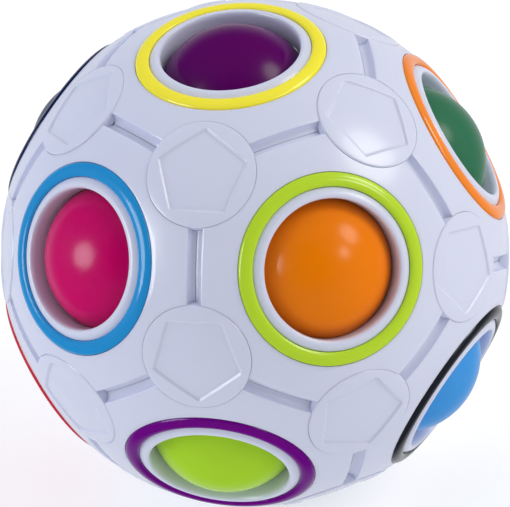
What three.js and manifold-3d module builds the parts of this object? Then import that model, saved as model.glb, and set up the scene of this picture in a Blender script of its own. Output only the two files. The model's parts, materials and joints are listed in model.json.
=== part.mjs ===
// A sliding-ball puzzle: a hollow white sphere of twelve panels, each with a round window and a
// coloured ring. Eleven coloured balls sit behind the windows around a small loose core, and one
// window is vacant. A ball next to the vacant window can be pushed in and slid across to it.
//
// Units are millimetres and +Z is up. The sphere stands on the lip of its bottom window, and the
// origin is the middle of that lip. Each panel, ring and ball is made about the middle of the
// sphere with its window's axis along +Z, and each cap with its corner's axis along +Z, and then
// turned to its place.
import * as THREE from 'three';
import { mergeVertices } from 'three/addons/utils/BufferGeometryUtils.js';
import Module from 'manifold-3d';

const wasm = await Module();
wasm.setup();

// Shell
const SPHERE_R = 35;
const SHELL_INNER_R = 31.6;
const PANEL_GAP = 0.3;
const GROOVE_HALF_WIDTH = 1.1;
const GROOVE_DEPTH = 1.0;

// Window: a round hole with a rounded lip, and a ring seat around the lip
const HOLE_R = 9.5;
const HOLE_EDGE_BEVEL = 0.4;
const LIP_FLAT_INNER_R = 10.2;
const LIP_OUTER_R = 11.0;
const LIP_HEIGHT = 33.4;
const LIP_ROUND_START = 32.5;
const SEAT_OUTER_R = 13.2;
const SEAT_FLOOR_DEPTH = 1.7;

// Coloured ring in its seat
const RING_INNER_R = 11.25;
const RING_OUTER_R = 12.95;
const RING_THICKNESS = 1.4;
const RING_CROWN = 0.28;

// Corner cap: a lens-shaped disc with a recessed pentagon, on a split snap stud
const CAP_R = 7.5;
const CAP_RIM_GAP = 0.25;
const CAP_PROUD = 0.15;
const CAP_UNDERSIDE = 33.0;
const CAP_SEAT = 32.7;
const CAP_FLOOR = 34.35;
const PENTAGON_FLOOR_R = 6.2;
const PENTAGON_RIM_R = 6.65;
const STUD_R = 3.0;
const STUD_HOLE_R = 3.3;
const STUD_HEAD_R = 3.7;
const STUD_HEAD_TOP = 31.0;
const STUD_HEAD_WIDEST = 30.65;
const STUD_END = 29.8;
const STUD_END_R = 2.6;
const STUD_SLOT_WIDTH = 1.1;
const STUD_SLOT_TOP = 32.3;

// Balls and core
const BALL_R = 10.7;
const BALL_SEATED = 24.95;
const BALL_PUSHED = 20.85;
const BOTTOM_BALL_SINK = 2.35;
const CORE_R = 9.8;
const CORE_WALL = 1.6;
const CORE_SPIGOT_WALL = 1.0;
const CORE_SPIGOT_LENGTH = 1.4;
const CORE_GAP = 0.3;

// Facets
const PENTAGON_SIDES = 5;
const COLUMNS_PER_SIDE = 4;
const COLUMNS = PENTAGON_SIDES * COLUMNS_PER_SIDE;
const CAP_SEGMENTS = 12;
const CAP_FACE_BREAK = 2 / 3;
const BALL_DETAIL = 2;
const CORE_SEGMENTS = 20;
const CORE_ARC_STEPS = 5;

// Tools: how far a cut runs past the solid, and when points and angles count as the same
const CUT_MARGIN = 2;
const WELD_DISTANCE = 1e-4;
const ANGLE_TOLERANCE = 0.01;

// Icosahedral layout: windows stand on the axes to an icosahedron's vertices
const WINDOW_ANGLE = Math.atan(2);
const WINDOW_ELEVATION = Math.PI / 2 - WINDOW_ANGLE;
const CORNER_ANGLE = Math.PI / PENTAGON_SIDES;
const CENTRE = new THREE.Vector3(0, 0, LIP_HEIGHT);

const WHITE = 0xdfe1ee;
const SHELL_ROUGHNESS = 0.3;
const RING_ROUGHNESS = 0.2;
const BALL_ROUGHNESS = 0.25;
const CORE_ROUGHNESS = 0.35;

// One row for each window: ring colour, ball colour, how far its ball is sunk, and where it is
const WINDOWS = [
  { ring: 'yellow', ball: 'purple', sunk: 0, tier: 'top' },
  { ring: 'orange', ball: 'green', sunk: 0, tier: 'upper', azimuth: 18 },
  { ring: 'magenta', ball: null, tier: 'upper', azimuth: 90 },
  { ring: 'navy', ball: 'navy', sunk: 0, tier: 'upper', azimuth: 162 },
  { ring: 'sky', ball: 'magenta', sunk: 0, tier: 'upper', azimuth: 234 },
  { ring: 'lime', ball: 'orange', sunk: 0, tier: 'upper', azimuth: 306 },
  { ring: 'green', ball: 'yellow', sunk: 0, tier: 'lower', azimuth: 54 },
  { ring: 'pink', ball: 'red', sunk: BALL_SEATED - BALL_PUSHED, tier: 'lower', azimuth: 126 },
  { ring: 'red', ball: 'pink', sunk: 0, tier: 'lower', azimuth: 198 },
  { ring: 'purple', ball: 'lime', sunk: 0, tier: 'lower', azimuth: 270 },
  { ring: 'black', ball: 'sky', sunk: 0, tier: 'lower', azimuth: 342 },
  { ring: 'turquoise', ball: 'turquoise', sunk: BOTTOM_BALL_SINK, tier: 'bottom' },
];

const COLOURS = {
  yellow: 0xf0df44,
  orange: 0xf08a2a,
  magenta: 0xc4005c,
  navy: 0x14326e,
  sky: 0x3d92d3,
  lime: 0xafcf35,
  green: 0x3f8a62,
  pink: 0xf08cb0,
  red: 0xcc2230,
  purple: 0x6a1180,
  black: 0x24282f,
  turquoise: 0x1fb0a8,
};

function windowAxis(window) {
  const elevations = {
    top: Math.PI / 2,
    upper: WINDOW_ELEVATION,
    lower: -WINDOW_ELEVATION,
    bottom: -Math.PI / 2,
  };
  const elevation = elevations[window.tier];
  const azimuth = THREE.MathUtils.degToRad(window.azimuth ?? 0);
  const level = Math.cos(elevation);
  return new THREE.Vector3(level * Math.cos(azimuth), level * Math.sin(azimuth), Math.sin(elevation));
}

function areNeighbours(axisA, axisB) {
  return Math.abs(axisA.angleTo(axisB) - WINDOW_ANGLE) < ANGLE_TOLERANCE;
}

// A turn that takes +Z to the axis and +X as near as it can to the second direction
function turnTo(axis, towards) {
  const x = towards.clone().addScaledVector(axis, -towards.dot(axis)).normalize();
  const y = new THREE.Vector3().crossVectors(axis, x);
  return new THREE.Quaternion().setFromRotationMatrix(new THREE.Matrix4().makeBasis(x, y, axis));
}

// Shared vertices merged, and the triangles that closed up to a line removed
function welded(geometry) {
  geometry.deleteAttribute('normal');
  geometry.deleteAttribute('uv');
  const merged = mergeVertices(geometry, WELD_DISTANCE);
  const kept = [];
  for (let i = 0; i < merged.index.count; i += 3) {
    const [a, b, c] = [0, 1, 2].map((k) => merged.index.getX(i + k));
    if (a !== b && b !== c && c !== a) kept.push(a, b, c);
  }
  merged.setIndex(kept);
  return merged;
}

function toSolid(geometry) {
  const closed = welded(geometry);
  const vertProperties = new Float32Array(closed.attributes.position.array);
  const triVerts = new Uint32Array(closed.index.array);
  return new wasm.Manifold(new wasm.Mesh({ numProp: 3, vertProperties, triVerts }));
}

function toGeometry(solid) {
  const mesh = solid.getMesh();
  const geometry = new THREE.BufferGeometry();
  geometry.setAttribute('position', new THREE.BufferAttribute(new Float32Array(mesh.vertProperties), 3));
  geometry.setIndex(Array.from(mesh.triVerts));
  return geometry;
}

// A profile of [radius, height] points turned about +Z
function turned(profile, segments) {
  const points = profile.map(([radius, height]) => new THREE.Vector2(radius, height));
  const geometry = new THREE.LatheGeometry(points, segments);
  geometry.rotateX(Math.PI / 2);
  return geometry;
}

// A solid ring: each column is one closed loop of points, and the last column meets the first
function ringOfLoops(loops) {
  const rows = loops[0].length;
  const positions = loops.flat().flatMap((point) => point.toArray());
  const index = [];
  for (let column = 0; column < loops.length; column++) {
    const here = column * rows;
    const there = ((column + 1) % loops.length) * rows;
    for (let row = 0; row < rows; row++) {
      const next = (row + 1) % rows;
      index.push(here + row, there + next, there + row);
      index.push(here + row, here + next, there + next);
    }
  }
  const geometry = new THREE.BufferGeometry();
  geometry.setAttribute('position', new THREE.Float32BufferAttribute(positions, 3));
  geometry.setIndex(index);
  return geometry;
}

function onSphere(radius, polar, azimuth) {
  const level = radius * Math.sin(polar);
  return new THREE.Vector3(level * Math.cos(azimuth), level * Math.sin(azimuth), radius * Math.cos(polar));
}

function aroundAxis(radius, height, azimuth) {
  return new THREE.Vector3(radius * Math.cos(azimuth), radius * Math.sin(azimuth), height);
}

function heightOnSphere(sphereRadius, radius) {
  return Math.sqrt(sphereRadius ** 2 - radius ** 2);
}

// The polar angle at which a panel's edge, moved in by the inset, meets a sphere. Each edge lies on
// the plane midway between two neighbouring windows, and turn is measured from that neighbour.
function edgePolar(turn, inset, sphereRadius) {
  const half = WINDOW_ANGLE / 2;
  const across = Math.cos(half) * Math.cos(turn);
  const along = Math.sin(half);
  const reach = Math.hypot(across, along);
  return Math.acos(inset / sphereRadius / reach) - Math.atan2(across, along);
}

// Azimuth of a column, and its turn from the middle of the pentagon side that it crosses
function columnAt(column) {
  const azimuth = (2 * Math.PI * column) / COLUMNS;
  const side = Math.round(azimuth / (2 * CORNER_ANGLE));
  return { azimuth, turn: azimuth - side * 2 * CORNER_ANGLE };
}

// One closed loop of a panel's section: up the hole, over the lip, through the ring seat, out over
// the sphere, down the groove and the edge, and back along the inside
function panelLoop(column) {
  const { azimuth, turn } = columnAt(column);
  const bevelled = HOLE_R + HOLE_EDGE_BEVEL;
  const holeBottom = heightOnSphere(SHELL_INNER_R, bevelled);
  const seatFloor = SPHERE_R - SEAT_FLOOR_DEPTH;
  const gap = PANEL_GAP / 2;
  const grooveRadius = SPHERE_R - GROOVE_DEPTH;
  return [
    aroundAxis(bevelled, holeBottom, azimuth),
    aroundAxis(HOLE_R, holeBottom + HOLE_EDGE_BEVEL, azimuth),
    aroundAxis(HOLE_R, LIP_ROUND_START, azimuth),
    aroundAxis(LIP_FLAT_INNER_R, LIP_HEIGHT, azimuth),
    aroundAxis(LIP_OUTER_R, LIP_HEIGHT, azimuth),
    aroundAxis(LIP_OUTER_R, heightOnSphere(seatFloor, LIP_OUTER_R), azimuth),
    aroundAxis(SEAT_OUTER_R, heightOnSphere(seatFloor, SEAT_OUTER_R), azimuth),
    aroundAxis(SEAT_OUTER_R, heightOnSphere(SPHERE_R, SEAT_OUTER_R), azimuth),
    onSphere(SPHERE_R, edgePolar(turn, GROOVE_HALF_WIDTH, SPHERE_R), azimuth),
    onSphere(grooveRadius, edgePolar(turn, gap, grooveRadius), azimuth),
    onSphere(SHELL_INNER_R, edgePolar(turn, gap, SHELL_INNER_R), azimuth),
  ];
}

// What is cut from each panel corner: the cap's round seat and the hole for its stud
function cornerCutter() {
  const profile = [
    [0, SHELL_INNER_R - CUT_MARGIN],
    [STUD_HOLE_R, SHELL_INNER_R - CUT_MARGIN],
    [STUD_HOLE_R, CAP_SEAT],
    [CAP_R + CAP_RIM_GAP, CAP_SEAT],
    [CAP_R + CAP_RIM_GAP, SPHERE_R + CUT_MARGIN],
    [0, SPHERE_R + CUT_MARGIN],
  ];
  return toSolid(turned(profile, CAP_SEGMENTS));
}

// A solid turned about the middle of the sphere
function turnedSolid(solid, turn) {
  const matrix = new THREE.Matrix4().makeRotationFromQuaternion(turn);
  return solid.transform(matrix.elements);
}

function makePanel() {
  const loops = Array.from({ length: COLUMNS }, (_, column) => panelLoop(column));
  let panel = toSolid(ringOfLoops(loops));
  const cutter = cornerCutter();
  const cornerPolar = edgePolar(CORNER_ANGLE, 0, SPHERE_R);
  for (let corner = 0; corner < PENTAGON_SIDES; corner++) {
    const axis = onSphere(1, cornerPolar, (2 * corner + 1) * CORNER_ANGLE);
    panel = panel.subtract(turnedSolid(cutter, turnTo(axis, new THREE.Vector3(0, 0, 1))));
  }
  return toGeometry(panel);
}

function ringLoop(column) {
  const { azimuth } = columnAt(column);
  const middle = (RING_INNER_R + RING_OUTER_R) / 2;
  const floorRadius = SPHERE_R - RING_THICKNESS;
  return [
    aroundAxis(RING_INNER_R, heightOnSphere(floorRadius, RING_INNER_R), azimuth),
    aroundAxis(RING_INNER_R, heightOnSphere(SPHERE_R, RING_INNER_R), azimuth),
    aroundAxis(middle, heightOnSphere(SPHERE_R, middle) + RING_CROWN, azimuth),
    aroundAxis(RING_OUTER_R, heightOnSphere(SPHERE_R, RING_OUTER_R), azimuth),
    aroundAxis(RING_OUTER_R, heightOnSphere(floorRadius, RING_OUTER_R), azimuth),
  ];
}

function makeWindowRing() {
  const loops = Array.from({ length: COLUMNS }, (_, column) => ringLoop(column));
  return toGeometry(toSolid(ringOfLoops(loops)));
}

// The pentagon's floor and sloping walls, with one vertex towards +X
function pentagonCutter() {
  const depth = heightOnSphere(SPHERE_R + CAP_PROUD, PENTAGON_RIM_R) - CAP_FLOOR + CAP_PROUD;
  const slope = (PENTAGON_RIM_R - PENTAGON_FLOOR_R) / depth;
  const top = PENTAGON_FLOOR_R + slope * CUT_MARGIN;
  const frustum = new THREE.CylinderGeometry(top, PENTAGON_FLOOR_R, CUT_MARGIN, PENTAGON_SIDES);
  frustum.rotateX(Math.PI / 2);
  frustum.rotateZ(Math.PI / 2);
  frustum.translate(0, 0, CAP_FLOOR + CUT_MARGIN / 2);
  return toSolid(frustum);
}

function studSlotCutter() {
  const bottom = STUD_END - CUT_MARGIN;
  const length = 2 * (STUD_HEAD_R + CUT_MARGIN);
  const box = new THREE.BoxGeometry(STUD_SLOT_WIDTH, length, STUD_SLOT_TOP - bottom);
  box.translate(0, 0, (STUD_SLOT_TOP + bottom) / 2);
  return toSolid(box);
}

function makeCornerCap() {
  const rim = heightOnSphere(SPHERE_R, CAP_R) + CAP_PROUD;
  const domeRadius = CAP_FACE_BREAK * CAP_R;
  const domeHeight = heightOnSphere(SPHERE_R, domeRadius) + CAP_PROUD;
  const profile = [
    [0, STUD_END],
    [STUD_END_R, STUD_END],
    [STUD_HEAD_R, STUD_HEAD_WIDEST],
    [STUD_R, STUD_HEAD_TOP],
    [STUD_R, CAP_UNDERSIDE],
    [CAP_R, CAP_UNDERSIDE],
    [CAP_R, rim],
    [domeRadius, domeHeight],
    [0, domeHeight],
  ];
  const cap = toSolid(turned(profile, CAP_SEGMENTS));
  return toGeometry(cap.subtract(pentagonCutter()).subtract(studSlotCutter()));
}

function makeBall(window) {
  const ball = welded(new THREE.IcosahedronGeometry(BALL_R, BALL_DETAIL));
  ball.translate(0, 0, BALL_SEATED - window.sunk);
  return ball;
}

// A hollow half of the core. The upper half has a spigot that fits inside the lower half.
function coreHalf(withSpigot) {
  const bore = CORE_R - CORE_WALL;
  const edge = CORE_GAP / 2;
  const arc = (radius, first, last) =>
    Array.from({ length: CORE_ARC_STEPS + 1 }, (_, k) => {
      const angle = first + ((last - first) * k) / CORE_ARC_STEPS;
      return [radius * Math.cos(angle), radius * Math.sin(angle)];
    });
  const outer = arc(CORE_R, Math.asin(edge / CORE_R), Math.PI / 2);
  const inner = arc(bore, Math.PI / 2, Math.asin(edge / bore));
  outer[CORE_ARC_STEPS][0] = 0;
  inner[0][0] = 0;
  if (!withSpigot) return turned([...inner, ...outer], CORE_SEGMENTS);
  const spigotOuter = bore - CORE_GAP;
  const spigotInner = spigotOuter - CORE_SPIGOT_WALL;
  const spigot = [
    [spigotInner, heightOnSphere(bore, spigotInner)],
    [spigotInner, -CORE_SPIGOT_LENGTH],
    [spigotOuter, -CORE_SPIGOT_LENGTH],
    [spigotOuter, edge],
  ];
  const domeOnly = inner.filter(([radius, height]) => height > spigot[0][1] || radius === 0);
  return turned([...domeOnly, ...spigot, ...outer], CORE_SEGMENTS);
}

function makeCoreUpperHalf() {
  return toGeometry(toSolid(coreHalf(true)));
}

function makeCoreLowerHalf() {
  const half = coreHalf(false);
  half.rotateX(Math.PI);
  return toGeometry(toSolid(half));
}

function namedMesh(name, geometry, colour, roughness) {
  const material = new THREE.MeshStandardMaterial({ color: colour, roughness, metalness: 0 });
  geometry.computeVertexNormals();
  const mesh = new THREE.Mesh(geometry, material);
  mesh.name = name;
  return mesh;
}

// A panel, its ring and its ball, all on one window's axis
function windowGroup(window, shapes) {
  const axis = windowAxis(window);
  const neighbour = WINDOWS.map(windowAxis).find((other) => areNeighbours(axis, other));
  const group = new THREE.Group();
  group.quaternion.copy(turnTo(axis, neighbour));
  group.add(namedMesh(`panel_${window.ring}_window`, shapes.panel.clone(), WHITE, SHELL_ROUGHNESS));
  group.add(namedMesh(`ring_${window.ring}`, shapes.ring.clone(), COLOURS[window.ring], RING_ROUGHNESS));
  if (window.ball) {
    group.add(namedMesh(`ball_${window.ball}`, makeBall(window), COLOURS[window.ball], BALL_ROUGHNESS));
  }
  return group;
}

// Corners lie midway between three windows that are all neighbours. Each cap's pentagon points at
// one of the three.
function findCorners() {
  const corners = [];
  for (let a = 0; a < WINDOWS.length; a++) {
    for (let b = a + 1; b < WINDOWS.length; b++) {
      for (let c = b + 1; c < WINDOWS.length; c++) {
        const axes = [a, b, c].map((k) => windowAxis(WINDOWS[k]));
        const [first, second, third] = axes;
        if (!areNeighbours(first, second)) continue;
        if (!areNeighbours(second, third) || !areNeighbours(third, first)) continue;
        const axis = first.clone().add(second).add(third).normalize();
        corners.push({ axis, axes, windows: [a, b, c].map((k) => WINDOWS[k].ring) });
      }
    }
  }
  return corners;
}

// The window that a cap's pentagon points at. The others point at the first of their three.
const CAP_POINTS_AT = {
  'yellow orange lime': 'lime',
  'yellow navy sky': 'sky',
  'sky lime purple': 'purple',
  'sky red purple': 'purple',
  'lime purple black': 'purple',
};

function pointedAxis(corner) {
  const ring = CAP_POINTS_AT[corner.windows.join(' ')] ?? corner.windows[0];
  return corner.axes[corner.windows.indexOf(ring)];
}

function capMesh(corner, number, shape) {
  const name = `corner_cap_${String(number).padStart(2, '0')}`;
  const mesh = namedMesh(name, shape.clone(), WHITE, SHELL_ROUGHNESS);
  mesh.quaternion.copy(turnTo(corner.axis, pointedAxis(corner)));
  return mesh;
}

const puzzle = new THREE.Group();
puzzle.position.copy(CENTRE);
const shapes = { panel: makePanel(), ring: makeWindowRing(), cap: makeCornerCap() };
WINDOWS.forEach((window) => puzzle.add(windowGroup(window, shapes)));
findCorners().forEach((corner, k) => puzzle.add(capMesh(corner, k + 1, shapes.cap)));
puzzle.add(namedMesh('core_upper_half', makeCoreUpperHalf(), WHITE, CORE_ROUGHNESS));
puzzle.add(namedMesh('core_lower_half', makeCoreLowerHalf(), WHITE, CORE_ROUGHNESS));

export default puzzle;
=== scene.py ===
import json
import math

import bmesh
import bpy
from mathutils import Matrix, Quaternion, Vector


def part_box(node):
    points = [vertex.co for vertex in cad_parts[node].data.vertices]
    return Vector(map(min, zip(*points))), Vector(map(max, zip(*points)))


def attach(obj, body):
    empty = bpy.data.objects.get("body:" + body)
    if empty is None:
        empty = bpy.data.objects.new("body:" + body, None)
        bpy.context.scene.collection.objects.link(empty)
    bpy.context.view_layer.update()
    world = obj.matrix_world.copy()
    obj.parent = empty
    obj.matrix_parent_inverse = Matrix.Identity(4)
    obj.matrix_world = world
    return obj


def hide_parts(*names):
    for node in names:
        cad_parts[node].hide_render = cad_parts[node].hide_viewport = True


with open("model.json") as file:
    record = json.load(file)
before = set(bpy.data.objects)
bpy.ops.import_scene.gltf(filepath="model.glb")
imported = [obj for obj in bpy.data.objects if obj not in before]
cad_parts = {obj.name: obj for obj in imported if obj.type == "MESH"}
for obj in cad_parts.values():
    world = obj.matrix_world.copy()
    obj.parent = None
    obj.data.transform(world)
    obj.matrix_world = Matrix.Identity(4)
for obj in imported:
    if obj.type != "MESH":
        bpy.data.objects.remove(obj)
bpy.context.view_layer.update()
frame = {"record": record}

# ------------------------------------------------------------ sizes, in millimetres and radians
MM = 0.001
JOINTS = {joint["name"]: joint for joint in frame["record"]["behaviour"]["joints"]}
CENTRE = Vector(JOINTS["core_turn"]["pos_m"])

SPHERE_R = 35.0
INNER_R = 31.6

WINDOW_ANGLE = math.atan(2)
WINDOW_ELEVATION = math.pi / 2 - WINDOW_ANGLE
HALF_WINDOW = WINDOW_ANGLE / 2
HALF_SIDE = math.radians(36)
CORNER_POLAR = math.atan(math.tan(HALF_WINDOW) / math.cos(HALF_SIDE))
HALF_EDGE = math.acos(math.cos(CORNER_POLAR) / math.cos(HALF_WINDOW))

HOLE_R = 9.5
HOLE_BEVEL = 0.08
HOLE_KNEE_Z = 31.9
LIP_ROUND_WIDTH = 0.32
LIP_ROUND_HEIGHT = 0.8
LIP_CREST_R = 10.1
LIP_Z = 33.4
LIP_FOOT_Z = 32.78
SEAT_INNER_R = 11.06
SEAT_OUTER_R = 13.08
SEAT_FLOOR_R = 33.3
SEAT_EDGE_BEVEL = 0.1
RING_INNER_R = 11.12
RING_OUTER_R = 13.02
RING_CROWN = 0.46
RING_SUNK = 0.32, 0.04
RING_FLOOR_R = 33.5

GROOVE_HALF_WIDTH = 1.05
GROOVE_DEPTH = 1.25
SLIT_HALF_WIDTH = 0.03
SLIT_MOUTH = 0.1
SLIT_KNEE_DEPTH = 2.0
EDGE_ROUND = 0.2

CAP_R = 7.5
CAP_EDGE_WIDTH = 0.25
CAP_EDGE_ROUND = 0.09, 0.12
CAP_SEAT_R = 7.505
CAP_SEAT_Z = 32.7
CAP_UNDERSIDE_Z = 32.95
CAP_PROUD = 0.12
CAP_TILT = math.radians(0.5)
CAP_STEP_TILT = math.radians(1.1)
PENTAGON_R = 6.62
PENTAGON_FLOOR_R = 6.2
PENTAGON_DEPTH = 0.3
PENTAGON_BLUNTING = 0.985
STUD_R = 3.0
STUD_HOLE_R = 3.3
STUD_HOLE_KNEE_Z = 32.3
STUD_HEAD_R = 3.7
STUD_HEAD_TOP_Z = 31.0
STUD_HEAD_Z = 30.65
STUD_END_R = 2.6
STUD_END_Z = 29.8

BALL_R = 10.83
PARTING_RISE = 0.012
PARTING_HALF_WIDTH = 0.02  # radians, as seen from the middle of the ball
TABLE_GAP = 0.1
CORE_R = 9.8
CORE_WALL = 1.6
CORE_GAP = 0.12
CORE_EDGE_BEVEL = 0.15, 0.2

# ------------------------------------------------------------ layout, as in the CAD part
WINDOWS = [
    ("yellow", "purple", "top", 0),
    ("orange", "green", "upper", 18),
    ("magenta", None, "upper", 90),
    ("navy", "navy", "upper", 162),
    ("sky", "magenta", "upper", 234),
    ("lime", "orange", "upper", 306),
    ("green", "yellow", "lower", 54),
    ("pink", "red", "lower", 126),
    ("red", "pink", "lower", 198),
    ("purple", "lime", "lower", 270),
    ("black", "sky", "lower", 342),
    ("turquoise", "turquoise", "bottom", 0),
]
CAP_POINTS_AT = {
    "yellow orange lime": "lime",
    "yellow navy sky": "sky",
    "sky lime purple": "purple",
    "sky red purple": "purple",
    "lime purple black": "purple",
}
# Caps that stand proud on the side that their pentagon points at
RAISED_CAPS = ("yellow orange lime", "yellow navy sky")
ELEVATIONS = {
    "top": math.pi / 2,
    "upper": WINDOW_ELEVATION,
    "lower": -WINDOW_ELEVATION,
    "bottom": -math.pi / 2,
}


def direction(azimuth, elevation):
    level = math.cos(elevation)
    return Vector((level * math.cos(azimuth), level * math.sin(azimuth), math.sin(elevation)))


AXES = {ring: direction(math.radians(azimuth), ELEVATIONS[tier]) for ring, _, tier, azimuth in WINDOWS}


def are_neighbours(a, b):
    return abs(a.angle(b) - WINDOW_ANGLE) < 0.01


def turn_to(axis, towards):
    """A turn that takes +Z to the axis and +X as near as it can to the second direction."""
    x = (towards - axis * towards.dot(axis)).normalized()
    y = axis.cross(x)
    return Matrix((x, y, axis)).transposed()


def window_turn(ring):
    axis = AXES[ring]
    return turn_to(axis, next(other for other in AXES.values() if are_neighbours(axis, other)))


def find_corners():
    """The three rings around each corner, in the order that the CAD part numbers its caps."""
    rings = [window[0] for window in WINDOWS]
    triples = [
        (a, b, c)
        for i, a in enumerate(rings)
        for j, b in enumerate(rings[i + 1:], i + 1)
        for c in rings[j + 1:]
    ]
    return [
        triple for triple in triples
        if all(are_neighbours(AXES[p], AXES[q]) for p in triple for q in triple if p != q)
    ]


# ------------------------------------------------------------ points on the sphere
def on_sphere(radius, polar, azimuth):
    level = radius * math.sin(polar)
    return Vector((level * math.cos(azimuth), level * math.sin(azimuth), radius * math.cos(polar)))


def around(radius, height, azimuth):
    return Vector((radius * math.cos(azimuth), radius * math.sin(azimuth), height))


def height_on(sphere_radius, radius):
    return math.sqrt(sphere_radius ** 2 - radius ** 2)


def polar_of(point):
    return point.angle(Vector((0, 0, 1)))


def azimuth_of(point):
    return math.atan2(point.y, point.x)


def arc(centre, radius, first, last, steps):
    """Points [radius, height] on a circular arc of a section, angles in degrees."""
    angles = [math.radians(first + (last - first) * k / steps) for k in range(steps + 1)]
    return [(centre[0] + radius * math.cos(a), centre[1] + radius * math.sin(a)) for a in angles]


# ------------------------------------------------------------ meshes
MERGED_WITHIN = 0.002 * MM
TOO_SHORT = 0.001 * MM


def make_object(name, points, faces, turn=None, smooth_angle=32):
    """A mesh object in the frame, from points in millimetres about the middle of the sphere."""
    turn = turn or Matrix.Identity(3)
    mesh = bpy.data.meshes.new(name)
    mesh.from_pydata([CENTRE + (turn @ point) * MM for point in points], [], faces)
    tidy = bmesh.new()
    tidy.from_mesh(mesh)
    bmesh.ops.remove_doubles(tidy, verts=tidy.verts, dist=MERGED_WITHIN)
    bmesh.ops.dissolve_degenerate(tidy, edges=tidy.edges, dist=TOO_SHORT)
    bmesh.ops.recalc_face_normals(tidy, faces=tidy.faces)
    for face in tidy.faces:
        face.smooth = True
    for edge in tidy.edges:
        edge.smooth = edge.calc_face_angle(0) < math.radians(smooth_angle)
    tidy.to_mesh(mesh)
    tidy.free()
    obj = bpy.data.objects.new(name, mesh)
    bpy.context.scene.collection.objects.link(obj)
    return obj


def loops_to_faces(columns, rows, closed_rows=True):
    faces = []
    for column in range(columns):
        here, there = column * rows, (column + 1) % columns * rows
        for row in range(rows if closed_rows else rows - 1):
            after = (row + 1) % rows
            faces.append((here + row, there + row, there + after, here + after))
    return faces


def turned(profile, segments, closed=True):
    """Points and faces of a section turned about +Z. An open section starts and ends on the axis."""
    points = [
        around(radius, height, 2 * math.pi * k / segments)
        for k in range(segments)
        for radius, height in profile
    ]
    return points, loops_to_faces(segments, len(profile), closed)


# ------------------------------------------------------------ the panel
GROOVE_STEPS = 6
ARC_STEPS = 12
SURFACE_STEPS = 8
INSIDE_STEPS = 4
LIP_ROUND_STEPS = 8

# A panel's share of a corner is 120 degrees, half on each side of the line to its window
HALF_SHARE = math.radians(60)
# The middle point of a rounded edge: distance out from the edge, and depth below the sphere
EDGE_MIDDLE = 0.3 * EDGE_ROUND, 0.12 * EDGE_ROUND
# The panel's edge: distance from the plane between two panels, and depth below the sphere. The
# first three rows round the edge over, and the next ones hollow out half of the groove.
EDGE_ROWS = 3
HOLLOW_TURNS = [math.radians(turn) for turn in (12, 26, 42, 60, 78)]
HOLLOW_TOP = GROOVE_HALF_WIDTH - 0.25 * EDGE_ROUND, 0.5 * EDGE_ROUND
GROOVE_ROWS = [
    (GROOVE_HALF_WIDTH + EDGE_ROUND, 0),
    (GROOVE_HALF_WIDTH + EDGE_MIDDLE[0], EDGE_MIDDLE[1]),
    HOLLOW_TOP,
    *((HOLLOW_TOP[0] * math.cos(turn), HOLLOW_TOP[1] + (GROOVE_DEPTH - HOLLOW_TOP[1]) * math.sin(turn))
      for turn in HOLLOW_TURNS),
    (SLIT_HALF_WIDTH, GROOVE_DEPTH),
    (SLIT_HALF_WIDTH, GROOVE_DEPTH + SLIT_MOUTH),
    (SLIT_HALF_WIDTH, SLIT_KNEE_DEPTH),
    (SLIT_HALF_WIDTH, SPHERE_R - INNER_R),
]
LAST_HOLLOW = EDGE_ROWS + len(HOLLOW_TURNS)
# The panel's corner: distance from the corner's axis, and height along it
SEAT_ROWS = [
    (CAP_SEAT_R + EDGE_ROUND, height_on(SPHERE_R, CAP_SEAT_R + EDGE_ROUND)),
    (CAP_SEAT_R + EDGE_MIDDLE[0], height_on(SPHERE_R, CAP_SEAT_R) - EDGE_MIDDLE[1]),
    (CAP_SEAT_R, height_on(SPHERE_R, CAP_SEAT_R) - 0.7 * EDGE_ROUND),
    *[(CAP_SEAT_R, CAP_SEAT_Z)] * (LAST_HOLLOW + 1 - EDGE_ROWS),
    (STUD_HOLE_R, CAP_SEAT_Z),
    (STUD_HOLE_R, STUD_HOLE_KNEE_Z),
    (STUD_HOLE_R, height_on(INNER_R, STUD_HOLE_R)),
]


def groove_point(distance, depth, share, side, reach):
    """A point of the groove: share runs from 0 mid-edge to 1 where the groove meets the cap's seat."""
    radius = SPHERE_R - depth
    in_plane = math.sqrt(radius ** 2 - distance ** 2)
    end = HALF_EDGE - math.asin(math.sqrt(reach ** 2 - distance ** 2) / in_plane)
    normal = Vector((-math.cos(HALF_WINDOW), 0, math.sin(HALF_WINDOW)))
    middle = Vector((math.sin(HALF_WINDOW), 0, math.cos(HALF_WINDOW)))
    along = side * share * end
    return normal * distance + (middle * math.cos(along) + Vector((0, 1, 0)) * math.sin(along)) * in_plane


def seat_point(radius, height, turn, side):
    """A point about the corner's axis; turn is measured from the direction of the window."""
    axis = on_sphere(1, CORNER_POLAR, side * HALF_SIDE)
    inward = (Vector((0, 0, 1)) - axis * axis.z).normalized()
    across = axis.cross(inward) * side
    return axis * height + (inward * math.cos(turn) + across * math.sin(turn)) * radius


def seat_turn(row):
    """How far round the corner the panel's own share of the seat goes, for one row."""
    row = min(row, EDGE_ROWS - 1)
    return HALF_SHARE - math.asin(GROOVE_ROWS[row][0] / SEAT_ROWS[row][0])


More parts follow.
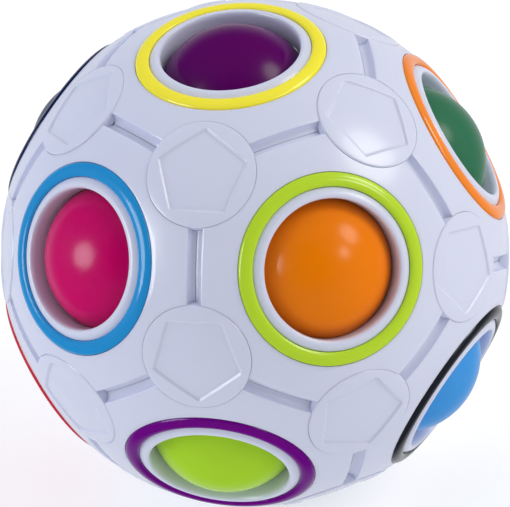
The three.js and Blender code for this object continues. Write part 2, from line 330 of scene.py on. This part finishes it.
def half_side_columns(side):
    """The edge rows of half a pentagon side, from mid-edge to the corner."""
    rows = range(len(GROOVE_ROWS))
    reach = [SEAT_ROWS[min(row, EDGE_ROWS)][0] for row in rows]
    columns = [
        [groove_point(*GROOVE_ROWS[row], k / GROOVE_STEPS, side, reach[row]) for row in rows]
        for k in range(GROOVE_STEPS + 1)
    ]
    junction = columns[-1][:EDGE_ROWS]
    for row in rows[EDGE_ROWS:]:
        radius, height = SEAT_ROWS[row]
        turn = HALF_SHARE - math.asin(GROOVE_ROWS[row][0] / radius)
        junction.append(seat_point(radius, height, turn, side))
    columns.append(junction)
    for k in range(ARC_STEPS, -1, -1):
        columns.append([seat_point(*SEAT_ROWS[row], seat_turn(row) * k / ARC_STEPS, side) for row in rows])
    return columns


# The lip's fall from its crest to the ring: shares of the way across and of the way down
LIP_SLOPE = [(0.12, 0.03), (0.25, 0.1), (0.5, 0.36), (0.75, 0.66), (0.92, 0.88), (1, 1)]


def rim_section():
    """The hole, lip and ring seat, as [radius, height] from the inside out."""
    bottom = height_on(INNER_R, HOLE_R + HOLE_BEVEL)
    round_over = [
        (HOLE_R + LIP_ROUND_WIDTH * (1 + across), LIP_Z - LIP_ROUND_HEIGHT * (1 - up))
        for across, up in arc((0, 0), 1, 180, 96, LIP_ROUND_STEPS)
    ]
    seat_edge = height_on(SPHERE_R, SEAT_OUTER_R)
    seat_edge_out = SEAT_OUTER_R + SEAT_EDGE_BEVEL
    return [
        (HOLE_R + HOLE_BEVEL, bottom),
        (HOLE_R, bottom + HOLE_BEVEL),
        (HOLE_R, HOLE_KNEE_Z),
        *round_over,
        (LIP_CREST_R, LIP_Z),
        *((LIP_CREST_R + across * (SEAT_INNER_R - LIP_CREST_R), LIP_Z + down * (LIP_FOOT_Z - LIP_Z))
          for across, down in LIP_SLOPE),
        (SEAT_INNER_R, height_on(SEAT_FLOOR_R, SEAT_INNER_R)),
        (SEAT_OUTER_R, height_on(SEAT_FLOOR_R, SEAT_OUTER_R)),
        (SEAT_OUTER_R, seat_edge - 1.2 * SEAT_EDGE_BEVEL),
        (SEAT_OUTER_R + 0.3 * SEAT_EDGE_BEVEL, seat_edge - 0.5 * SEAT_EDGE_BEVEL),
        (seat_edge_out, height_on(SPHERE_R, seat_edge_out)),
    ]


def nearest_turn(azimuth, other):
    return azimuth + math.remainder(other - azimuth, 2 * math.pi)


def between(first, last, radius, steps):
    """Points on a sphere between two points, without the two ends."""
    polars = polar_of(first), polar_of(last)
    azimuths = azimuth_of(first), nearest_turn(azimuth_of(first), azimuth_of(last))
    shares = [k / steps for k in range(1, steps)]
    return [
        on_sphere(radius, *(a + (b - a) * share for a, b in (polars, azimuths)))
        for share in shares
    ]


def panel_column(edge):
    azimuth = azimuth_of(edge[0])
    rim = [around(radius, height, azimuth) for radius, height in rim_section()]
    outside = between(rim[-1], edge[0], SPHERE_R, SURFACE_STEPS)
    inside = between(edge[-1], rim[0], INNER_R, INSIDE_STEPS)
    return rim + outside + edge + inside


def panel_columns():
    """All the panel's columns in order round the window."""
    plus, minus = half_side_columns(1), half_side_columns(-1)
    side = minus[:0:-1] + plus[:-1]
    columns = []
    for k in range(5):
        turn = Matrix.Rotation(2 * HALF_SIDE * k, 3, "Z")
        columns += [panel_column([turn @ point for point in edge]) for edge in side]
    return columns


def make_panel(ring, columns):
    points = [point for column in columns for point in column]
    faces = loops_to_faces(len(columns), len(columns[0]))
    return make_object(f"shell_panel_{ring}", points, faces, window_turn(ring))


# ------------------------------------------------------------ rings, caps, balls and core
RING_STEPS = 12
RING_SEGMENTS = 160
BALL_STEPS = 64
BALL_SEGMENTS = 96
CORE_STEPS = 40
CORE_BORE_STEPS = 30
CORE_SEGMENTS = 96


def ring_section():
    middle = (RING_INNER_R + RING_OUTER_R) / 2
    half = (RING_OUTER_R - RING_INNER_R) / 2
    top = []
    for k in range(RING_STEPS + 1):
        across = -math.cos(math.pi * k / RING_STEPS)
        radius = middle + half * across
        crown = RING_CROWN * max(0, 1 - across ** 2) ** 0.5
        sunk = RING_SUNK[0] + (RING_SUNK[1] - RING_SUNK[0]) * (1 + across) / 2
        top.append((radius, height_on(SPHERE_R, radius) - sunk + crown))
    floor = [(radius, height_on(RING_FLOOR_R, radius)) for radius in (RING_OUTER_R, RING_INNER_R)]
    return top + floor


def make_ring(ring):
    points, faces = turned(ring_section(), RING_SEGMENTS)
    return make_object(f"window_ring_{ring}", points, faces, window_turn(ring))


def pentagon_radius(azimuth, corner_radius):
    """Distance from the middle of a pentagon to its side, with one corner towards azimuth 0."""
    turn = math.remainder(azimuth - HALF_SIDE, 2 * HALF_SIDE)
    sharp = corner_radius * math.cos(HALF_SIDE) / math.cos(turn)
    return min(sharp, corner_radius * PENTAGON_BLUNTING)


# Shares of the way from the middle of the pentagon's floor to its edge
FLOOR_SHARES = 0.35, 0.7, 0.94, 1
# The pentagon's sloping side, from its floor outwards: shares of its width and of its depth
SIDE_ROWS = (0.12, 0.93), (0.5, 0.5), (0.88, 0.07), (1, 0), (1.25, 0)


def cap_column(azimuth):
    """One half section of a cap, from the middle of its face to the end of its stud."""
    dome = SPHERE_R + CAP_PROUD
    floor = pentagon_radius(azimuth, PENTAGON_FLOOR_R)
    rim = pentagon_radius(azimuth, PENTAGON_R)
    column = [(0, dome - PENTAGON_DEPTH)]
    for share in FLOOR_SHARES:
        column.append((floor * share, height_on(dome, floor * share) - PENTAGON_DEPTH))
    for share, depth in SIDE_ROWS:
        radius = floor + (rim - floor) * share
        column.append((radius, height_on(dome, radius) - depth * PENTAGON_DEPTH))
    edge_start = CAP_R - CAP_EDGE_WIDTH
    edge = height_on(dome, CAP_R)
    for radius in ((rim + edge_start) / 2, edge_start):
        column.append((radius, height_on(dome, radius)))
    column += [
        (CAP_R - CAP_EDGE_ROUND[0], edge),
        (CAP_R, edge - CAP_EDGE_ROUND[1]),
        (CAP_R, CAP_UNDERSIDE_Z),
        (STUD_R, CAP_UNDERSIDE_Z),
        (STUD_R, STUD_HEAD_TOP_Z),
        (STUD_HEAD_R, STUD_HEAD_Z),
        (STUD_END_R, STUD_END_Z),
        (0, STUD_END_Z),
    ]
    return column


# Steps round a cap from one corner of the pentagon to the next, close together beside each
AFTER_CORNER = [0, 0.03, 0.08, 0.16]
BEFORE_CORNER = [1.0966, 1.1766, 1.2266]
SIDE_STEPS = 16


def cap_azimuths():
    first, last = AFTER_CORNER[-1], BEFORE_CORNER[0]
    along = [first + (last - first) * k / SIDE_STEPS for k in range(1, SIDE_STEPS)]
    spread = AFTER_CORNER + along + BEFORE_CORNER
    return [2 * HALF_SIDE * side + step for side in range(5) for step in spread]


def make_cap(number, rings):
    """A cap, turned as its pentagon points, and leaning a little, each in its own direction."""
    triple = " ".join(rings)
    target = CAP_POINTS_AT.get(triple, rings[0])
    axis = sum((AXES[ring] for ring in rings), Vector()).normalized()
    lean = Quaternion(direction(2.4 * number, 0), CAP_TILT * (0.4 + 0.6 * math.sin(number) ** 2))
    if triple in RAISED_CAPS:
        lean = Quaternion((0, -1, 0), CAP_STEP_TILT)
    seat = Matrix.Translation((0, 0, height_on(SPHERE_R, CAP_R)))
    tilt = seat @ lean.to_matrix().to_4x4() @ seat.inverted()
    columns = [
        [tilt @ around(radius, height, azimuth) for radius, height in cap_column(azimuth)]
        for azimuth in cap_azimuths()
    ]
    points = [point for column in columns for point in column]
    faces = loops_to_faces(len(columns), len(columns[0]), closed_rows=False)
    return make_object(f"cap_{number:02d}", points, faces, turn_to(axis, AXES[target]))


def ball_centre(node):
    low, high = (Vector(corner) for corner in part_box(node))
    return ((low + high) / 2 - CENTRE) / MM


def make_ball(colour, number):
    """A moulded ball with a faint parting line round it, each lying in its own direction."""
    centre = ball_centre(f"ball_{colour}")
    ball_radius = min(BALL_R, (centre.z * MM + CENTRE.z) / MM - TABLE_GAP)
    profile = []
    for k in range(BALL_STEPS + 1):
        angle = math.pi * k / BALL_STEPS - math.pi / 2
        radius = ball_radius + PARTING_RISE * math.exp(-((angle / PARTING_HALF_WIDTH) ** 2))
        profile.append((radius * math.cos(angle), radius * math.sin(angle)))
    profile[0], profile[-1] = (0, -ball_radius), (0, ball_radius)
    points, faces = turned(profile, BALL_SEGMENTS, closed=False)
    parting = Quaternion(direction(1.9 * number, 0.3), 1.1 * number + 0.7).to_matrix()
    points = [centre + parting @ point for point in points]
    return make_object(f"puzzle_ball_{colour}", points, faces, smooth_angle=60)


def make_core_half(name, up):
    """Half of the hollow core, its outer edge bevelled and its section ending on the axis."""
    bore = CORE_R - CORE_WALL
    edge = CORE_GAP / 2
    outer_start = math.degrees(math.asin((edge + CORE_EDGE_BEVEL[0]) / CORE_R))
    outer = arc((0, 0), CORE_R, outer_start, 90, CORE_STEPS)
    inner = arc((0, 0), bore, 90, math.degrees(math.asin(edge / bore)), CORE_BORE_STEPS)
    outer[-1] = (0, CORE_R)
    inner[0] = (0, bore)
    section = inner + [(CORE_R - CORE_EDGE_BEVEL[1], edge)] + outer
    points, faces = turned(section, CORE_SEGMENTS, closed=False)
    flip = Matrix.Identity(3) if up else Matrix.Rotation(math.pi, 3, "X")
    return make_object(name, points, faces, flip)


# ------------------------------------------------------------ materials
def srgb(red, green, blue):
    """Linear colour of an sRGB one given in 0 to 255."""
    values = [value / 255 for value in (red, green, blue)]
    return [v / 12.92 if v <= 0.04045 else ((v + 0.055) / 1.055) ** 2.4 for v in values] + [1]


# Noise in the plastic: a slow drift of colour, about 11 mm across, and a grain, about 1 mm
DRIFT_SCALE, DRIFT_DETAIL = 90, 3
GRAIN_SCALE, GRAIN_DETAIL = 900, 4
GLOSSIEST, DULLEST = 0.8, 1.25
RIPPLE_STRENGTH = 0.12
COAT_ROUGHNESS = 0.08
GLOW_DEPTH = 1.2 * MM
GLOW_SPREAD = 1.0, 1.0, 1.2


def moulded_plastic(
    name, colour, roughness, coat=0.0, soft=0.0, mottle=0.04, ripple=0.02, specular=0.5
):
    """Moulded plastic: a slow drift of colour, patches of wear in the gloss, and a fine ripple."""
    material = bpy.data.materials.new(name)
    material.use_nodes = True
    nodes, links = material.node_tree.nodes, material.node_tree.links
    shader = nodes["Principled BSDF"]
    place = nodes.new("ShaderNodeTexCoord")
    drift = nodes.new("ShaderNodeTexNoise")
    drift.inputs["Scale"].default_value = DRIFT_SCALE
    drift.inputs["Detail"].default_value = DRIFT_DETAIL
    grain = nodes.new("ShaderNodeTexNoise")
    grain.inputs["Scale"].default_value = GRAIN_SCALE
    grain.inputs["Detail"].default_value = GRAIN_DETAIL
    for noise in (drift, grain):
        links.new(place.outputs["Object"], noise.inputs["Vector"])
    tint = nodes.new("ShaderNodeMix")
    tint.data_type = "RGBA"
    tint.inputs["A"].default_value = [value * (1 - mottle) for value in colour[:3]] + [1]
    tint.inputs["B"].default_value = [min(1, value * (1 + mottle)) for value in colour[:3]] + [1]
    links.new(drift.outputs["Fac"], tint.inputs["Factor"])
    links.new(tint.outputs["Result"], shader.inputs["Base Color"])
    gloss = nodes.new("ShaderNodeMapRange")
    gloss.inputs["To Min"].default_value = roughness * GLOSSIEST
    gloss.inputs["To Max"].default_value = roughness * DULLEST
    links.new(grain.outputs["Fac"], gloss.inputs["Value"])
    links.new(gloss.outputs["Result"], shader.inputs["Roughness"])
    bump = nodes.new("ShaderNodeBump")
    bump.inputs["Strength"].default_value = RIPPLE_STRENGTH
    bump.inputs["Distance"].default_value = ripple * MM
    links.new(grain.outputs["Fac"], bump.inputs["Height"])
    links.new(bump.outputs["Normal"], shader.inputs["Normal"])
    shader.inputs["Specular IOR Level"].default_value = specular
    shader.inputs["Coat Weight"].default_value = coat
    shader.inputs["Coat Roughness"].default_value = COAT_ROUGHNESS
    if soft:
        shader.inputs["Subsurface Weight"].default_value = soft
        shader.inputs["Subsurface Radius"].default_value = GLOW_SPREAD
        shader.inputs["Subsurface Scale"].default_value = GLOW_DEPTH
    return material


COLOURS = {
    "yellow": srgb(255, 240, 66),
    "orange": srgb(248, 140, 50),
    "magenta": srgb(196, 0, 92),
    "navy": srgb(14, 32, 78),
    "sky": srgb(34, 146, 212),
    "lime": srgb(188, 223, 52),
    "green": srgb(60, 138, 98),
    "pink": srgb(238, 140, 176),
    "red": srgb(204, 34, 48),
    "purple": srgb(110, 0, 132),
    "black": srgb(34, 38, 46),
    "turquoise": srgb(30, 176, 168),
}
BALL_COLOURS = {
    **COLOURS,
    "orange": srgb(240, 125, 0),
    "magenta": srgb(203, 0, 100),
    "green": srgb(54, 114, 84),
    "purple": srgb(88, 0, 92),
    "lime": srgb(170, 216, 44),
    "sky": srgb(66, 150, 222),
    "yellow": srgb(248, 216, 36),
}


def dress(obj, material, body, slot, *nodes):
    obj.data.materials.clear()
    obj.data.materials.append(material)
    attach(obj, body)
    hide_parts(*nodes)


# ------------------------------------------------------------ the object
shell_white = moulded_plastic(
    "shell_white", srgb(215, 219, 240), 0.22, coat=0.12, soft=0.1, mottle=0.02, specular=0.36
)
core_white = moulded_plastic("core_white", srgb(222, 222, 226), 0.35, soft=0.15, mottle=0.02)
columns = panel_columns()
for number, (ring, ball, *_) in enumerate(WINDOWS):
    dress(make_panel(ring, columns), shell_white, "shell", "shell_white", f"panel_{ring}_window")
    ring_plastic = moulded_plastic(f"ring_{ring}", COLOURS[ring], 0.16, coat=0.25, specular=0.35)
    dress(make_ring(ring), ring_plastic, "shell", f"ring_{ring}", f"ring_{ring}")
    if ball:
        colour = BALL_COLOURS[ball]
        ball_plastic = moulded_plastic(f"ball_{ball}", colour, 0.22, ripple=0.06, specular=0.19)
        dress(make_ball(ball, number), ball_plastic, f"{ball}_ball", f"ball_{ball}", f"ball_{ball}")
for number, rings in enumerate(find_corners(), 1):
    dress(make_cap(number, rings), shell_white, "shell", "shell_white", f"corner_cap_{number:02d}")
for half, up in (("core_upper_half", True), ("core_lower_half", False)):
    dress(make_core_half(f"hollow_{half}", up), core_white, "core", "core_white", half)

# ------------------------------------------------------------ camera, floor and light
CAMERA_AZIMUTH = math.radians(16.24)
CAMERA_ELEVATION = math.radians(34.4)
CAMERA_ROLL = math.radians(-6.96)
CAMERA_DISTANCE = 0.972
CAMERA_LENS = 496.7
CAMERA_SENSOR = 36
CAMERA_SHIFT = 0.0006, -0.0022
# From the middle of the sphere to the front of the studio, where the camera stands at first
FRONT = direction(CAMERA_AZIMUTH - math.pi / 2, CAMERA_ELEVATION)

FLOOR_HALF_SIZE = 3.0
FLOOR_GREY = 0.6, 0.6, 0.6, 1
FLOOR_GLOW = 0.5

# The tent's brightness by frontness, the cosine of the angle from the front: its walls, its dim
# front, and what a glossy surface mirrors of it, which is only the part behind the object
TENT_COLOUR = 0.94, 0.955, 1.0, 1
WALLS_UP_TO, FRONT_FROM = 0.7, 0.96
TENT_WALLS = 0.87
TENT_FRONT = 0.12
BEHIND_UP_TO, REST_FROM = -0.95, -0.45
TENT_MIRRORED = 0.7

KEY_COLOUR = 1, 0.965, 0.86
LEFT_COLOUR = 0.86, 0.93, 1


def make_camera():
    data = bpy.data.cameras.new("camera")
    data.sensor_width = CAMERA_SENSOR
    data.lens = CAMERA_LENS
    data.shift_x, data.shift_y = CAMERA_SHIFT
    camera = bpy.data.objects.new("camera", data)
    camera.location = CENTRE + FRONT * CAMERA_DISTANCE
    camera.rotation_mode = "QUATERNION"
    level = (-FRONT).to_track_quat("-Z", "Y")
    camera.rotation_quaternion = level @ Quaternion((0, 0, 1), CAMERA_ROLL)
    bpy.context.scene.collection.objects.link(camera)
    bpy.context.scene.camera = camera


def area_light(name, azimuth, elevation, distance, size, power, colour=(1, 1, 1)):
    """A round lamp aimed at the sphere. Azimuth turns from the front side, -Y, towards +X."""
    data = bpy.data.lights.new(name, "AREA")
    data.shape = "DISK"
    data.size = size
    data.energy = power
    data.color = colour
    light = bpy.data.objects.new(name, data)
    back = direction(math.radians(azimuth - 90), math.radians(elevation))
    light.location = CENTRE + back * distance
    light.rotation_mode = "QUATERNION"
    light.rotation_quaternion = (-back).to_track_quat("-Z", "Y")
    bpy.context.scene.collection.objects.link(light)
    return light


def make_floor():
    mesh = bpy.data.meshes.new("floor")
    signs = (-1, -1), (1, -1), (1, 1), (-1, 1)
    corners = [(x * FLOOR_HALF_SIZE, y * FLOOR_HALF_SIZE, 0) for x, y in signs]
    mesh.from_pydata(corners, [], [(0, 1, 2, 3)])
    floor = bpy.data.objects.new("floor", mesh)
    bpy.context.scene.collection.objects.link(floor)
    material = bpy.data.materials.new("floor")
    material.use_nodes = True
    shader = material.node_tree.nodes["Principled BSDF"]
    shader.inputs["Base Color"].default_value = FLOOR_GREY
    shader.inputs["Roughness"].default_value = 0.9
    shader.inputs["Specular IOR Level"].default_value = 0.1
    shader.inputs["Emission Color"].default_value = (1, 1, 1, 1)
    shader.inputs["Emission Strength"].default_value = FLOOR_GLOW
    mesh.materials.append(material)
    floor.visible_glossy = False


def make_sky():
    """White light from all round, as inside a light tent that is dim in front.

    Glossy surfaces mirror only the tent behind the object, so that their edges are pale and their
    middles keep their colour.
    """
    world = bpy.data.worlds.new("studio")
    bpy.context.scene.world = world
    world.use_nodes = True
    nodes, links = world.node_tree.nodes, world.node_tree.links
    place = nodes.new("ShaderNodeTexCoord")
    frontness = nodes.new("ShaderNodeVectorMath")
    frontness.operation = "DOT_PRODUCT"
    frontness.inputs[1].default_value = FRONT
    links.new(place.outputs["Generated"], frontness.inputs[0])
    strength, mirrored = nodes.new("ShaderNodeMapRange"), nodes.new("ShaderNodeMapRange")
    for ramp, values in (
        (strength, (WALLS_UP_TO, FRONT_FROM, TENT_WALLS, TENT_FRONT)),
        (mirrored, (BEHIND_UP_TO, REST_FROM, TENT_MIRRORED, 0)),
    ):
        for socket, value in zip(("From Min", "From Max", "To Min", "To Max"), values):
            ramp.inputs[socket].default_value = value
        links.new(frontness.outputs["Value"], ramp.inputs["Value"])
    path = nodes.new("ShaderNodeLightPath")
    choice = nodes.new("ShaderNodeMix")
    links.new(path.outputs["Is Glossy Ray"], choice.inputs["Factor"])
    links.new(strength.outputs["Result"], choice.inputs["A"])
    links.new(mirrored.outputs["Result"], choice.inputs["B"])
    links.new(choice.outputs["Result"], nodes["Background"].inputs["Strength"])
    nodes["Background"].inputs["Color"].default_value = TENT_COLOUR


make_camera()
make_floor()
make_sky()
# Azimuth and elevation in degrees, distance and size in metres, power in watts. The glints show
# only in the gloss, and the left wall doesn't show in it.
area_light("key", 107, 38.5, 0.6, 0.26, 1.0, KEY_COLOUR)
area_light("second", 75, 32, 0.7, 0.2, 0.3, KEY_COLOUR)
area_light("left", -52, 24, 0.7, 0.32, 0.5, LEFT_COLOUR)
area_light("key_glint", 107, 38.5, 0.6, 0.2, 0.4, KEY_COLOUR).visible_diffuse = False
area_light("second_glint", 75, 32, 0.7, 0.14, 0.5, KEY_COLOUR).visible_diffuse = False
area_light("left_glint", -52, 24, 0.7, 0.36, 4.0).visible_diffuse = False
area_light("left_wall", -85, 5, 0.7, 0.6, 1.0, LEFT_COLOUR).visible_glossy = False
bpy.context.scene.view_settings.view_transform = "Standard"
